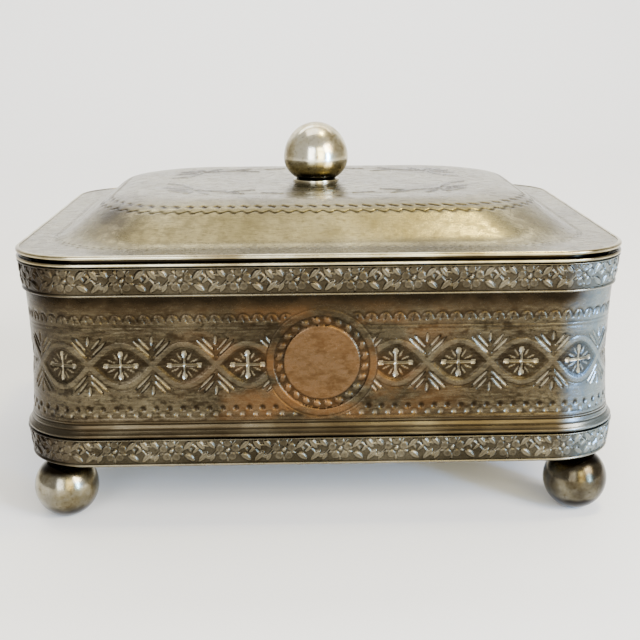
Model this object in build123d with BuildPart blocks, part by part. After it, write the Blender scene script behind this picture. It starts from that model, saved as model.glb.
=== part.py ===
"""A rectangular silver-plated biscuit box on ball feet, with a hinged ogee lid and a ball knob.

X runs along the front, Y goes to the back, Z is up, and the table is at Z = 0. The pieces are drawn about
the middle of the box, and are set down with the origin under the middle of the whole, hinge included.
A section of a ring that runs round the box is drawn as inset from the outline, and height above the table.
"""

import os
from math import acos, atan2, cos, pi, sin

from build123d import *

# Outline of the box, over the lid's edge
box_length = 200.0
box_depth = 160.0
corner_radius = 24.0
solder_seam = 0.05

# Ball feet
foot_radius = 10.7
foot_rest_radius = 2.0
foot_seat_radius = 2.4
foot_inset = 13.6
foot_stud_radius = 1.5
foot_stud_clearance = 0.05
foot_stud_depth = 6.0
foot_nut_across = 5.5
foot_nut_height = 2.2
foot_stud_end = 0.5
stud_chamfer = 0.3

# Body
base_thickness = 1.4
wall_thickness = 1.2
wall_inset = 2.3
wall_waist = 0.8
body_height = 68.0

# Rolled borders and mouldings
border_height = 9.7
border_groove = 0.3
border_bead_height = 1.1
border_bead_swell = 0.5
border_top_inset = 0.2
border_foot_inset = 1.75
border_swell = 0.35
moulding_bead_height = 1.5
moulding_bead_inset = 0.4
moulding_bead_swell = 0.4
moulding_hollow = 0.3
moulding_height = 5.4
rim_thickness = 1.2
rim_lip = 1.1
upstand_width = 1.2
upstand_height = 1.0

# Lid
shadow_gap = 1.0
lid_seat_clearance = 0.1
lid_thickness = 1.2
edge_wire_width = 1.3
edge_wire_height = 1.5
dome_foot_inset = 12.5
dome_bend_inset = 26.0
dome_bend_rise = 11.0
dome_top_inset = 34.0
dome_rise = 12.8
dome_corner_radius = 28.0
cove_radius = 12.0
shoulder_radius = 12.0
top_edge_radius = 30.0
bezel_gap = 0.5
bezel_thickness = 1.0
bezel_depth = 3.8

# Knob
knob_radius = 12.0
knob_upper_height = 13.2
knob_lower_height = 9.5
knob_seat_radius = 7.0
oval_steps = 4
knob_collar_radius = 8.6
knob_collar_height = 0.8
knob_stud_radius = 1.75
knob_stud_clearance = 0.05
knob_stud_depth = 7.0
knob_washer_radius = 5.0
knob_washer_thickness = 0.8
knob_nut_across = 6.5
knob_nut_height = 2.6
knob_stud_end = 0.6

# Hinge
knuckle_radius = 2.0
knuckle_length = 16.0
knuckle_count = 5
knuckle_gap = 0.2
hinge_pin_radius = 1.0
hinge_pin_clearance = 0.05
hinge_leaf_thickness = 1.0
hinge_leaf_gap = 0.15
hinge_leaf_drop = 3.6
hinge_head_radius = 1.5
hinge_head_length = 0.8

# Heights above the table, worked out from the sizes above
foot_centre_z = (foot_radius**2 - foot_rest_radius**2) ** 0.5
base_z = foot_centre_z + (foot_radius**2 - foot_seat_radius**2) ** 0.5
wall_foot_z = base_z + base_thickness
mouth_z = base_z + body_height
wall_top_z = mouth_z - rim_thickness
upper_border_z = wall_top_z - border_groove - border_height
moulding_z = base_z + border_height + border_groove
moulding_top_z = moulding_z + moulding_height
upstand_z = mouth_z + upstand_height
lid_under_z = upstand_z + lid_seat_clearance
edge_wire_z = mouth_z + shadow_gap
rim_top_z = lid_under_z + lid_thickness
crown_z = rim_top_z + dome_rise

# Insets from the outline, worked out from the sizes above
wall_back_inset = wall_inset + wall_thickness
rim_inner_inset = wall_back_inset + rim_lip
bezel_inset = rim_inner_inset + bezel_gap
bezel_inner_inset = bezel_inset + bezel_thickness
lid_sheet_inset = edge_wire_width + solder_seam

# Hinge axis, behind the outline at the height of the shadow gap
hinge_y = box_depth / 2 + solder_seam + hinge_leaf_thickness + hinge_leaf_gap + knuckle_radius
hinge_z = mouth_z + shadow_gap / 2
hinge_overhang = hinge_y + knuckle_radius - box_depth / 2
foot_x = box_length / 2 - foot_inset
foot_y = box_depth / 2 - foot_inset
foot_places = {
    "front_left": (-foot_x, -foot_y),
    "front_right": (foot_x, -foot_y),
    "back_left": (-foot_x, foot_y),
    "back_right": (foot_x, foot_y),
}

# The plane of every ring section: across the wall at the middle of the front, x inwards and y upwards
section_plane = Plane(origin=(0, -box_depth / 2, 0), x_dir=(0, 1, 0), z_dir=(1, 0, 0))
hinge_plane = Plane(origin=(0, hinge_y, hinge_z), x_dir=(0, 1, 0), z_dir=(1, 0, 0))


def outline_path():
    """The round-cornered outline at table height, from the middle of the front and back to it."""
    half_length = box_length / 2
    half_depth = box_depth / 2
    run = half_length - corner_radius
    side = half_depth - corner_radius
    with BuildLine() as path:
        Line((0, -half_depth), (run, -half_depth))
        RadiusArc((run, -half_depth), (half_length, -side), -corner_radius)
        Line((half_length, -side), (half_length, side))
        RadiusArc((half_length, side), (run, half_depth), -corner_radius)
        Line((run, half_depth), (-run, half_depth))
        RadiusArc((-run, half_depth), (-half_length, side), -corner_radius)
        Line((-half_length, side), (-half_length, -side))
        RadiusArc((-half_length, -side), (-run, -half_depth), -corner_radius)
        Line((-run, -half_depth), (0, -half_depth))
    return path.wire()


def finish(piece, name):
    """Sets a finished piece down about the origin, names it and writes its file."""
    placed = piece.moved(Location((0, -hinge_overhang / 2, 0)))
    placed.label = name
    export_step(placed, f"parts/{name}.step")


os.makedirs("parts", exist_ok=True)
box_outline = outline_path()

# Side wall: one raised sheet, straight behind the borders and drawn in at the waist between them
with BuildPart() as side_wall:
    with BuildSketch(section_plane):
        waist_z = (moulding_top_z + upper_border_z) / 2
        with BuildLine():
            Line((wall_inset, wall_foot_z), (wall_inset, moulding_top_z))
            ThreePointArc(
                (wall_inset, moulding_top_z), (wall_inset + wall_waist, waist_z), (wall_inset, upper_border_z)
            )
            Line((wall_inset, upper_border_z), (wall_inset, wall_top_z))
            Line((wall_inset, wall_top_z), (wall_back_inset, wall_top_z))
            Line((wall_back_inset, wall_top_z), (wall_back_inset, upper_border_z))
            ThreePointArc(
                (wall_back_inset, upper_border_z),
                (wall_back_inset + wall_waist, waist_z),
                (wall_back_inset, moulding_top_z),
            )
            Line((wall_back_inset, moulding_top_z), (wall_back_inset, wall_foot_z))
            Line((wall_back_inset, wall_foot_z), (wall_inset, wall_foot_z))
        make_face()
    sweep(path=box_outline)
finish(side_wall.part, "side_wall")

# Base plate: the wall stands on it, and the feet are bolted through it
with BuildPart() as base_plate:
    with BuildSketch(Plane.XY.offset(base_z)):
        RectangleRounded(
            box_length - 2 * wall_inset, box_depth - 2 * wall_inset, corner_radius - wall_inset
        )
        with Locations(*foot_places.values()):
            Circle(foot_stud_radius + foot_stud_clearance, mode=Mode.SUBTRACT)
    extrude(amount=base_thickness)
finish(base_plate.part, "base_plate")


def border_strip(strip_z):
    """A rolled border: a swelling field that falls back to a bead along its lower edge."""
    back_inset = wall_inset - solder_seam
    bead_z = strip_z + border_bead_height
    top_z = strip_z + border_height
    middle_inset = (border_top_inset + border_foot_inset) / 2 - border_swell
    with BuildPart() as strip:
        with BuildSketch(section_plane):
            with BuildLine():
                Line((back_inset, strip_z), (border_foot_inset, strip_z))
                ThreePointArc(
                    (border_foot_inset, strip_z),
                    (border_foot_inset - border_bead_swell, (strip_z + bead_z) / 2),
                    (border_foot_inset, bead_z),
                )
                ThreePointArc(
                    (border_foot_inset, bead_z),
                    (middle_inset, (bead_z + top_z) / 2),
                    (border_top_inset, top_z),
                )
                Line((border_top_inset, top_z), (back_inset, top_z))
                Line((back_inset, top_z), (back_inset, strip_z))
            make_face()
        sweep(path=box_outline)
    return strip.part


finish(border_strip(upper_border_z), "upper_border")
finish(border_strip(base_z), "lower_border")

# Base moulding: a bead with a hollow above it that dies into the wall
with BuildPart() as base_moulding:
    with BuildSketch(section_plane):
        moulding_back = wall_inset - solder_seam
        moulding_bead_z = moulding_z + moulding_bead_height
        bead_edge_inset = moulding_bead_inset + moulding_bead_swell
        hollow_inset = (bead_edge_inset + moulding_back) / 2 + moulding_hollow
        with BuildLine():
            Line((moulding_back, moulding_z), (bead_edge_inset, moulding_z))
            ThreePointArc(
                (bead_edge_inset, moulding_z),
                (moulding_bead_inset, (moulding_z + moulding_bead_z) / 2),
                (bead_edge_inset, moulding_bead_z),
            )
            ThreePointArc(
                (bead_edge_inset, moulding_bead_z),
                (hollow_inset, (moulding_bead_z + moulding_top_z) / 2),
                (moulding_back - solder_seam, moulding_top_z),
            )
            Line((moulding_back - solder_seam, moulding_top_z), (moulding_back, moulding_top_z))
            Line((moulding_back, moulding_top_z), (moulding_back, moulding_z))
        make_face()
    sweep(path=box_outline)
finish(base_moulding.part, "base_moulding")

# Mouth rim: a flat wire on the wall's top edge, rounded outside, with the upstand that carries the lid
with BuildPart() as mouth_rim:
    with BuildSketch(section_plane):
        rim_round = rim_thickness / 2
        upstand_inset = rim_inner_inset - upstand_width
        with BuildLine():
            Line((rim_inner_inset, wall_top_z), (rim_round, wall_top_z))
            ThreePointArc((rim_round, wall_top_z), (0, wall_top_z + rim_round), (rim_round, mouth_z))
            Line((rim_round, mouth_z), (upstand_inset, mouth_z))
            Line((upstand_inset, mouth_z), (upstand_inset, upstand_z))
            Line((upstand_inset, upstand_z), (rim_inner_inset, upstand_z))
            Line((rim_inner_inset, upstand_z), (rim_inner_inset, wall_top_z))
        make_face()
    sweep(path=box_outline)
finish(mouth_rim.part, "mouth_rim")

# Ball feet: each ball is flattened where it rests and where it meets the base plate, and bored for its stud
for place_name, (x, y) in foot_places.items():
    with BuildPart() as ball_foot:
        with Locations((x, y, foot_centre_z)):
            Sphere(foot_radius)
        split(bisect_by=Plane.XY, keep=Keep.TOP)
        split(bisect_by=Plane.XY.offset(base_z), keep=Keep.BOTTOM)
        with BuildSketch(Plane.XY.offset(base_z)):
            with Locations((x, y)):
                Circle(foot_stud_radius + foot_stud_clearance)
        extrude(amount=-foot_stud_depth, mode=Mode.SUBTRACT)
    finish(ball_foot.part, f"foot_{place_name}")

# Foot studs, from the bottom of each ball's bore up through the base plate and the nut
foot_stud_top_z = wall_foot_z + foot_nut_height + foot_stud_end
foot_stud_foot_z = base_z - foot_stud_depth + foot_stud_clearance
with BuildPart() as foot_studs:
    with BuildSketch(Plane.XY.offset(foot_stud_foot_z)):
        with Locations(*foot_places.values()):
            Circle(foot_stud_radius)
    extrude(amount=foot_stud_top_z - foot_stud_foot_z)
    chamfer(foot_studs.edges().group_by(Axis.Z)[-1], length=stud_chamfer)
finish(foot_studs.part, "foot_studs")

# Foot nuts: hexagon nuts on the inside of the base plate
with BuildPart() as foot_nuts:
    with BuildSketch(Plane.XY.offset(wall_foot_z)):
        with Locations(*foot_places.values()):
            RegularPolygon(foot_nut_across / 2, 6, major_radius=False)
            Circle(foot_stud_radius + foot_stud_clearance, mode=Mode.SUBTRACT)
    extrude(amount=foot_nut_height)
finish(foot_nuts.part, "foot_nuts")


# The dome's side runs through three levels, its foot, its bend and its top, each an inset and a height
dome_levels = (
    (dome_foot_inset, rim_top_z),
    (dome_bend_inset, rim_top_z + dome_bend_rise),
    (dome_top_inset, crown_z),
)
side_slope = atan2(dome_bend_rise, dome_bend_inset - dome_foot_inset)
top_slope = atan2(dome_rise - dome_bend_rise, dome_top_inset - dome_bend_inset)


def levels_at(depth):
    """The dome's levels on a face that lies at that depth in the sheet, square to its outer face."""
    slopes = (0, side_slope, top_slope, 0)
    levels = []
    for (inset, height), below, above in zip(dome_levels, slopes, slopes[1:]):
        lean = (below + above) / 2
        reach = depth / cos((below - above) / 2)
        levels.append((inset + reach * sin(lean), height - reach * cos(lean)))
    return levels


def raised_form(depth, plate_thickness):
    """A level plate with the dome on it, all its bends rounded, at that depth in the sheet."""
    foot, bend, top = levels_at(depth)
    with BuildPart() as form:
        with BuildSketch(Plane.XY.offset(rim_top_z - depth)):
            RectangleRounded(
                box_length - 2 * lid_sheet_inset,
                box_depth - 2 * lid_sheet_inset,
                corner_radius - lid_sheet_inset,
            )
        extrude(amount=-plate_thickness)
        for side in ((foot, bend), (bend, top)):
            for inset, height in side:
                with BuildSketch(Plane.XY.offset(height)):
                    RectangleRounded(box_length - 2 * inset, box_depth - 2 * inset, dome_corner_radius)
            loft()
        fillet(form.edges().filter_by(Plane.XY).group_by(Axis.Z)[-2], radius=shoulder_radius - depth)
        plate_top = form.faces().filter_by(Plane.XY).group_by(Axis.Z)[-2][0]
        fillet(plate_top.inner_wires()[0].edges(), radius=cove_radius + depth)
        fillet(form.faces().sort_by(Axis.Z)[-1].edges(), radius=top_edge_radius - depth)
    return form.part


# Lid shell: one sheet of even thickness, so the inside form is the outside one moved in square to its faces
outside_form = raised_form(0, lid_thickness)
inside_form = raised_form(lid_thickness, bezel_depth)
with BuildPart() as lid_shell:
    add(outside_form)
    add(inside_form, mode=Mode.SUBTRACT)
    with BuildSketch(Plane.XY.offset(crown_z)):
        Circle(knob_stud_radius + knob_stud_clearance)
    extrude(amount=-2 * lid_thickness, mode=Mode.SUBTRACT)
finish(lid_shell.part, "lid_shell")

# Lid edge wire: a bright wire with a rounded outside, soldered round the lid's sheet
with BuildPart() as lid_edge_wire:
    with BuildSketch(section_plane):
        wire_top_z = edge_wire_z + edge_wire_height
        wire_round = edge_wire_height / 2
        with BuildLine():
            Line((edge_wire_width, edge_wire_z), (wire_round, edge_wire_z))
            ThreePointArc((wire_round, edge_wire_z), (0, edge_wire_z + wire_round), (wire_round, wire_top_z))
            Line((wire_round, wire_top_z), (edge_wire_width, wire_top_z))
            Line((edge_wire_width, wire_top_z), (edge_wire_width, edge_wire_z))
        make_face()
    sweep(path=box_outline)
finish(lid_edge_wire.part, "lid_edge_wire")

# Lid bezel: the band under the lid that drops inside the mouth and centres the lid
with BuildPart() as lid_bezel:
    with BuildSketch(section_plane):
        with Locations(((bezel_inset + bezel_inner_inset) / 2, lid_under_z - bezel_depth / 2)):
            Rectangle(bezel_thickness, bezel_depth)
    sweep(path=box_outline)
finish(lid_bezel.part, "lid_bezel")

# Knob collar: the small disc that the ball stands on
knob_seat_z = crown_z + knob_collar_height
with BuildPart() as knob_collar:
    with BuildSketch(Plane.XY.offset(crown_z)):
        Circle(knob_collar_radius)
        Circle(knob_stud_radius + knob_stud_clearance, mode=Mode.SUBTRACT)
    extrude(amount=knob_collar_height)
    fillet(
        knob_collar.edges().filter_by(GeomType.CIRCLE).group_by(SortBy.RADIUS)[-1].sort_by(Axis.Z)[-1],
        radius=knob_collar_height / 2,
    )
finish(knob_collar.part, "knob_collar")

# Knob ball: taller above its middle than below, flat where it stands on the collar, and bored for its stud
bore_radius = knob_stud_radius + knob_stud_clearance
bore_top_z = knob_seat_z + knob_stud_depth
seat_angle = acos(knob_seat_radius / knob_radius)
knob_centre_z = knob_seat_z + knob_lower_height * sin(seat_angle)


def oval_side(height, first_angle, last_angle):
    """Points on a quarter of the ball's outline, with that height over or under its middle."""
    turn = (last_angle - first_angle) / oval_steps
    angles = [first_angle + turn * step for step in range(oval_steps + 1)]
    return [(knob_radius * cos(angle), knob_centre_z + height * sin(angle)) for angle in angles]


with BuildPart() as knob_ball:
    with BuildSketch(Plane.XZ):
        with BuildLine():
            lower_start = (knob_radius * sin(seat_angle), knob_lower_height * cos(seat_angle))
            lower_side = Spline(*oval_side(knob_lower_height, -seat_angle, 0), tangents=(lower_start, (0, 1)))
            upper_side = Spline(*oval_side(knob_upper_height, 0, pi / 2), tangents=((0, 1), (-1, 0)))
            bore = Polyline((0, bore_top_z), (bore_radius, bore_top_z), (bore_radius, knob_seat_z))
            Line(upper_side @ 1, bore @ 0)
            Line(bore @ 1, lower_side @ 0)
        make_face()
    revolve(axis=Axis.Z)
finish(knob_ball.part, "knob_ball")

# Knob fixing inside the lid: stud, washer and nut, stacked under the crown
washer_z = crown_z - lid_thickness - knob_washer_thickness
knob_nut_z = washer_z - knob_nut_height
with BuildPart() as knob_stud:
    with BuildSketch(Plane.XY.offset(knob_nut_z - knob_stud_end)):
        Circle(knob_stud_radius)
    extrude(amount=knob_seat_z + knob_stud_depth - knob_stud_clearance - knob_nut_z + knob_stud_end)
    chamfer(knob_stud.edges().group_by(Axis.Z)[0], length=stud_chamfer)
finish(knob_stud.part, "knob_stud")

with BuildPart() as knob_washer:
    with BuildSketch(Plane.XY.offset(washer_z)):
        Circle(knob_washer_radius)
        Circle(knob_stud_radius + knob_stud_clearance, mode=Mode.SUBTRACT)
    extrude(amount=knob_washer_thickness)
finish(knob_washer.part, "knob_washer")

with BuildPart() as knob_nut:
    with BuildSketch(Plane.XY.offset(knob_nut_z)):
        RegularPolygon(knob_nut_across / 2, 6, major_radius=False)
        Circle(knob_stud_radius + knob_stud_clearance, mode=Mode.SUBTRACT)
    extrude(amount=knob_nut_height)
finish(knob_nut.part, "knob_nut")

# Hinge: five knuckles on one pin, the odd ones on the body's leaf and the even ones on the lid's
hinge_length = knuckle_count * knuckle_length
leaf_face_y = -knuckle_radius - hinge_leaf_gap
leaf_back_y = leaf_face_y - hinge_leaf_thickness
half_gap = shadow_gap / 2


def hinge_leaf(first_knuckle, root_z, tip_z):
    """A leaf with every second knuckle: a strip on the wire's outside, webs, and barrels round the pin."""
    web_z = root_z * knuckle_radius / abs(root_z)
    with BuildPart() as leaf:
        for knuckle in range(first_knuckle, knuckle_count, 2):
            start_x = knuckle * knuckle_length - hinge_length / 2
            with BuildSketch(hinge_plane.offset(start_x + knuckle_gap / 2)):
                Circle(knuckle_radius)
                with BuildLine():
                    Polyline(
                        (0, root_z), (leaf_face_y, root_z), (leaf_face_y, web_z), (0, web_z), close=True
                    )
                make_face()
                Circle(hinge_pin_radius + hinge_pin_clearance, mode=Mode.SUBTRACT)
            extrude(amount=knuckle_length - knuckle_gap)
        with BuildSketch(hinge_plane.offset(knuckle_gap / 2 - hinge_length / 2)):
            with BuildLine():
                Polyline(
                    (leaf_back_y, root_z), (leaf_face_y, root_z), (leaf_face_y, tip_z), (leaf_back_y, tip_z),
                    close=True,
                )
            make_face()
        extrude(amount=hinge_length - knuckle_gap)
    return leaf.part


finish(hinge_leaf(0, -half_gap, -half_gap - hinge_leaf_drop), "body_hinge")
finish(hinge_leaf(1, half_gap, half_gap + edge_wire_height), "lid_hinge")

# Hinge pin: through all the knuckles, with a small rounded head outside the last one at each end
with BuildPart() as hinge_pin:
    with BuildSketch(hinge_plane.offset(-hinge_length / 2)):
        Circle(hinge_pin_radius)
    extrude(amount=hinge_length)
    for end in (-1, 1):
        with BuildSketch(hinge_plane.offset(end * hinge_length / 2)):
            Circle(hinge_head_radius)
        extrude(amount=end * hinge_head_length)
    fillet(
        hinge_pin.edges().filter_by(GeomType.CIRCLE).group_by(Axis.X)[0]
        + hinge_pin.edges().filter_by(GeomType.CIRCLE).group_by(Axis.X)[-1],
        radius=hinge_head_length / 2,
    )
finish(hinge_pin.part, "hinge_pin")
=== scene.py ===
"""The looks of the biscuit box: silver plate over nickel silver, engraved, rolled and long tarnished."""

from math import acos, asin, atan2, cos, hypot, pi, radians, sin, sqrt, tan

import bmesh
import bpy
import numpy as np
from mathutils import Matrix, Vector


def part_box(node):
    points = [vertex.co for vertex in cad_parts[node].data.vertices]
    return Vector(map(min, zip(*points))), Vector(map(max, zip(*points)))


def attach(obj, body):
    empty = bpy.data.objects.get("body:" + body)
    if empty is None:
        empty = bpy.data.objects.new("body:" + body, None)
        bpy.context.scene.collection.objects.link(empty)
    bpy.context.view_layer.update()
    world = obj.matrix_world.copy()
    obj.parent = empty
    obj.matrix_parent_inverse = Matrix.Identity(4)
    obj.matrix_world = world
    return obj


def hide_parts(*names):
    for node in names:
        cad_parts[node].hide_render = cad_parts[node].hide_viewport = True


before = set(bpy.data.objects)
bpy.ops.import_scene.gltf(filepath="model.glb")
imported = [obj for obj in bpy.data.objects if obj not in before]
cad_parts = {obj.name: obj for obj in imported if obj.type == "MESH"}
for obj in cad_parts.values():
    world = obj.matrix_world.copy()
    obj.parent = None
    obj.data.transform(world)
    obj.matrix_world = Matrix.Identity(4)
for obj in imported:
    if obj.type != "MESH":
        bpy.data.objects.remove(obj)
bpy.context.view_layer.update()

# All sizes below are in millimetres, and a finished mesh is brought to metres
MM = 0.001
WELD = 0.002


def node_box(node):
    """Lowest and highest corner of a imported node, in millimetres."""
    low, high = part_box(node)
    return Vector(low) / MM, Vector(high) / MM


rim_low, rim_high = node_box("mouth_rim")
wall_low, wall_high = node_box("side_wall")
upper_low, upper_high = node_box("upper_border")
lower_low, lower_high = node_box("lower_border")
moulding_low, moulding_high = node_box("base_moulding")
shell_low, shell_high = node_box("lid_shell")
wire_low, wire_high = node_box("lid_edge_wire")
ball_low, ball_high = node_box("knob_ball")
collar_low, collar_high = node_box("knob_collar")

half_length = (rim_high.x - rim_low.x) / 2
half_depth = (rim_high.y - rim_low.y) / 2
middle_y = (rim_high.y + rim_low.y) / 2
corner_radius = 24.0
corner_arc = corner_radius * pi / 2
run_x = half_length - corner_radius
run_y = half_depth - corner_radius
perimeter = 4 * (run_x + run_y + corner_arc)


def ring_knots(inset, corner):
    """Where each run and each corner starts on the ring at that inset, from the middle of the front."""
    straight_x = half_length - inset - corner
    straight_y = half_depth - inset - corner
    bend = corner * pi / 2
    runs = (straight_x, bend, 2 * straight_y, bend, 2 * straight_x, bend, 2 * straight_y, bend, straight_x)
    return np.concatenate(([0.0], np.cumsum(runs)))


# At each knot of the outline: the side on which the corner's centre lies, across and backward, and the
# way that the outline faces there
KNOTS = ring_knots(0.0, corner_radius)
ACROSS = (0, 1, 1, 1, 1, -1, -1, -1, -1, 0)
BACKWARD = (-1, -1, -1, 1, 1, 1, 1, -1, -1, -1)
FACING = tuple(radians(angle) for angle in (-90, -90, 0, 0, 90, 90, 180, 180, 270, 270))


def outline_place(along, inset, corner):
    """Place in plan of points that lie along the outline, moved in from it by the inset."""
    across = np.interp(along, KNOTS, ACROSS)
    backward = np.interp(along, KNOTS, BACKWARD)
    facing = np.interp(along, KNOTS, FACING)
    x = across * (half_length - inset - corner) + corner * np.cos(facing)
    y = backward * (half_depth - inset - corner) + corner * np.sin(facing) + middle_y
    return x, y


def true_length(along, inset, corner):
    """Distance gone round the ring at that inset when the outline has gone as far as along."""
    ring = ring_knots(inset, corner)
    return np.interp(along, KNOTS, ring), ring[-1]


def fade(value, start, end):
    """0 up to the start, 1 from the end on, in proportion between them. The end may be the lower one."""
    return np.clip((value - start) / (end - start), 0, 1)


def spaced(marks, steps):
    """Values from the first mark to the last, with that many equal steps from each mark to the next."""
    parts = [np.linspace(start, end, count + 1)[:-1] for start, end, count in zip(marks, marks[1:], steps)]
    return np.append(np.concatenate(parts), marks[-1])


def rows_between(profile, first, last):
    """Marks the rows of a profile that take the relief, from the first up to, but without, the last."""
    rows = np.arange(len(profile))
    return (rows >= first) & (rows < last)


def bowed(start, through, end, count):
    """Points of a bow from start through a middle point up to, but without, end."""
    steps = np.arange(count)[:, None] / count
    start, through, end = np.array(start), np.array(through), np.array(end)
    handle = 2 * through - (start + end) / 2
    return start * (1 - steps) ** 2 + handle * 2 * steps * (1 - steps) + end * steps**2


def side_normals(profile):
    """Unit directions square to a closed profile of insets and heights, pointing out of the metal."""
    ahead = np.roll(profile, -1, axis=0) - np.roll(profile, 1, axis=0)
    length = np.hypot(ahead[:, 0], ahead[:, 1])
    length[length == 0] = 1
    return np.stack((-ahead[:, 1], ahead[:, 0]), axis=1) / length[:, None]


def swept_mesh(profile, columns, relief=None, pressed=None, corner=None, stretch=(0.0, 1.0), loop=True):
    """A strip with that profile, given its relief while it is flat, then bent round the box and closed.

    The relief gives lift and tone at each point, and lifts the rows that are pressed. The corner gives the
    corner radius at an inset, and the stretch is the part of the outline that the strip covers.
    """
    rows = len(profile) if loop else len(profile) - 1
    bm = bmesh.new()
    bmesh.ops.create_grid(bm, x_segments=columns, y_segments=rows, size=1.0)
    mesh = bpy.data.meshes.new("strip")
    bm.to_mesh(mesh)
    flat = np.empty(len(mesh.vertices) * 3, np.float32)
    mesh.vertices.foreach_get("co", flat)
    flat = flat.reshape(-1, 3).astype(float)
    share = (flat[:, 0] + 1) / 2
    row = np.rint((flat[:, 1] + 1) / 2 * rows).astype(int) % len(profile)
    along = (stretch[0] + share * (stretch[1] - stretch[0])) * perimeter % perimeter
    inset, height = profile[row, 0].copy(), profile[row, 1].copy()
    tone = np.zeros(len(row))
    if relief is not None:
        lift, tone = relief(along, inset, height)
        lift, tone = np.where(pressed[row], lift, 0.0), np.where(pressed[row], tone, 0.0)
        square = side_normals(profile)[row]
        inset += square[:, 0] * lift
        height += square[:, 1] * lift
    radius = corner_radius - inset if corner is None else corner(inset)
    x, y = outline_place(along, inset, radius)
    placed = np.stack((x, y, height), axis=1) * MM
    mesh.vertices.foreach_set("co", placed.astype(np.float32).ravel())
    mesh.attributes.new("tone", "FLOAT", "POINT").data.foreach_set("value", tone.astype(np.float32))
    bm.clear()
    bm.from_mesh(mesh)
    bmesh.ops.remove_doubles(bm, verts=bm.verts, dist=WELD * MM)
    bmesh.ops.dissolve_degenerate(bm, edges=bm.edges, dist=WELD * MM)
    ends = [edge for edge in bm.edges if edge.is_boundary]
    if ends:
        bmesh.ops.holes_fill(bm, edges=ends, sides=0)
    bmesh.ops.recalc_face_normals(bm, faces=bm.faces)
    bm.to_mesh(mesh)
    bm.free()
    return mesh


def write(mesh, name, value_at):
    """Writes a value from 0 to 1 at each vertex, worked out from its place in millimetres."""
    places = np.empty(len(mesh.vertices) * 3, np.float32)
    mesh.vertices.foreach_get("co", places)
    x, y, z = places.reshape(-1, 3).astype(float).T / MM
    value = np.clip(value_at(x, y - middle_y, z), 0, 1)
    mesh.attributes.new(name, "FLOAT", "POINT").data.foreach_set("value", value.astype(np.float32))


# How far into a corner the painted reflection of the bluish window grows, how late it does, and its strength
# in each corner
reflection_reach = 13.0
reflection_power = 1.4
reflection_front_right, reflection_back_right = 1.0, 0.6
reflection_front_left, reflection_back_left = 0.08, 0.5


def painted_window_reflection(x, y, z):
    """Painted reflection of the bluish window on the corners: most at the front right, hardly at the front
    left.
    """
    into_corner = np.minimum(np.abs(x) - run_x, np.abs(y) - run_y)
    right = np.where(y < 0, reflection_front_right, reflection_back_right)
    left = np.where(y < 0, reflection_front_left, reflection_back_left)
    return fade(into_corner, 0, reflection_reach) ** reflection_power * np.where(x > 0, right, left)


def piece(name, mesh, material, body, nodes, sharp=40):
    """A finished piece: smooth but for its sharp edges, riding on its body in place of its nodes."""
    mesh.name = name
    for face in mesh.polygons:
        face.use_smooth = True
    mesh.set_sharp_from_angle(angle=radians(sharp))
    mesh.materials.append(material)
    made = bpy.data.objects.new(name, mesh)
    bpy.context.scene.collection.objects.link(made)
    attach(made, body)
    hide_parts(*nodes)


def to_mesh(bm):
    """The mesh of a form made in millimetres, brought to metres, with its faces pointing out."""
    bmesh.ops.recalc_face_normals(bm, faces=bm.faces)
    bmesh.ops.scale(bm, vec=(MM, MM, MM), verts=bm.verts)
    mesh = bpy.data.meshes.new("form")
    bm.to_mesh(mesh)
    bm.free()
    return mesh


def turned(bm, outline, centre, steps):
    """A form turned about an upright axis. Its outline of radii and heights starts and ends on the axis."""
    vertices = [bm.verts.new((centre[0] + radius, centre[1], height)) for radius, height in outline]
    edges = [bm.edges.new(pair) for pair in zip(vertices, vertices[1:])]
    bmesh.ops.spin(
        bm, geom=vertices + edges, cent=(centre[0], centre[1], 0), axis=(0, 0, 1), angle=2 * pi,
        steps=steps, use_merge=True,
    )
    bmesh.ops.remove_doubles(bm, verts=bm.verts, dist=WELD)


# Finishes


def linear(hex_colour):
    """Scene-linear colour of an sRGB hex value."""
    channels = [int(hex_colour[i:i + 2], 16) / 255 for i in (1, 3, 5)]
    return [c / 12.92 if c <= 0.04045 else ((c + 0.055) / 1.055) ** 2.4 for c in channels] + [1.0]


def add(tree, kind, inputs=None, **settings):
    """A node with its settings, and its inputs linked or set."""
    node = tree.nodes.new(kind)
    for key, value in settings.items():
        setattr(node, key, value)
    for key, value in (inputs or {}).items():
        socket = node.inputs[key]
        if isinstance(value, bpy.types.NodeSocket):
            tree.links.new(value, socket)
        else:
            socket.default_value = linear(value) if isinstance(value, str) else value
    return node


def ramp(tree, value, stops):
    """A colour ramp with stops of place and colour or grey."""
    node = add(tree, "ShaderNodeValToRGB", {"Fac": value})
    elements = node.color_ramp.elements
    while len(elements) < len(stops):
        elements.new(0.5)
    for element, (place, colour) in zip(elements, stops):
        element.position = place
        element.color = linear(colour) if isinstance(colour, str) else (colour, colour, colour, 1.0)
    return node.outputs["Color"]


def blend(tree, share, first, second):
    """Two colours mixed by a share."""
    return add(tree, "ShaderNodeMix", {0: share, 6: first, 7: second}, data_type="RGBA").outputs[2]


def noise(tree, scale, detail=2.0, stretch=(1, 1, 1), rough=0.5):
    """Noise on the piece, with grains of about 1 / scale metres, drawn out where the stretch is small."""
    place = add(tree, "ShaderNodeTexCoord").outputs["Object"]
    place = add(tree, "ShaderNodeMapping", {"Vector": place, "Scale": stretch}).outputs["Vector"]
    node = add(
        tree, "ShaderNodeTexNoise", {"Vector": place, "Scale": scale, "Detail": detail, "Roughness": rough}
    )
    return node.outputs["Fac"]


def number(tree, operation, first, second, clamp=False):
    """Arithmetic on two values."""
    node = add(tree, "ShaderNodeMath", {0: first, 1: second}, operation=operation, use_clamp=clamp)
    return node.outputs[0]


def written(tree, name):
    """A value that the piece's mesh carries at each vertex."""
    return add(tree, "ShaderNodeAttribute", attribute_name=name).outputs["Fac"]


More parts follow.
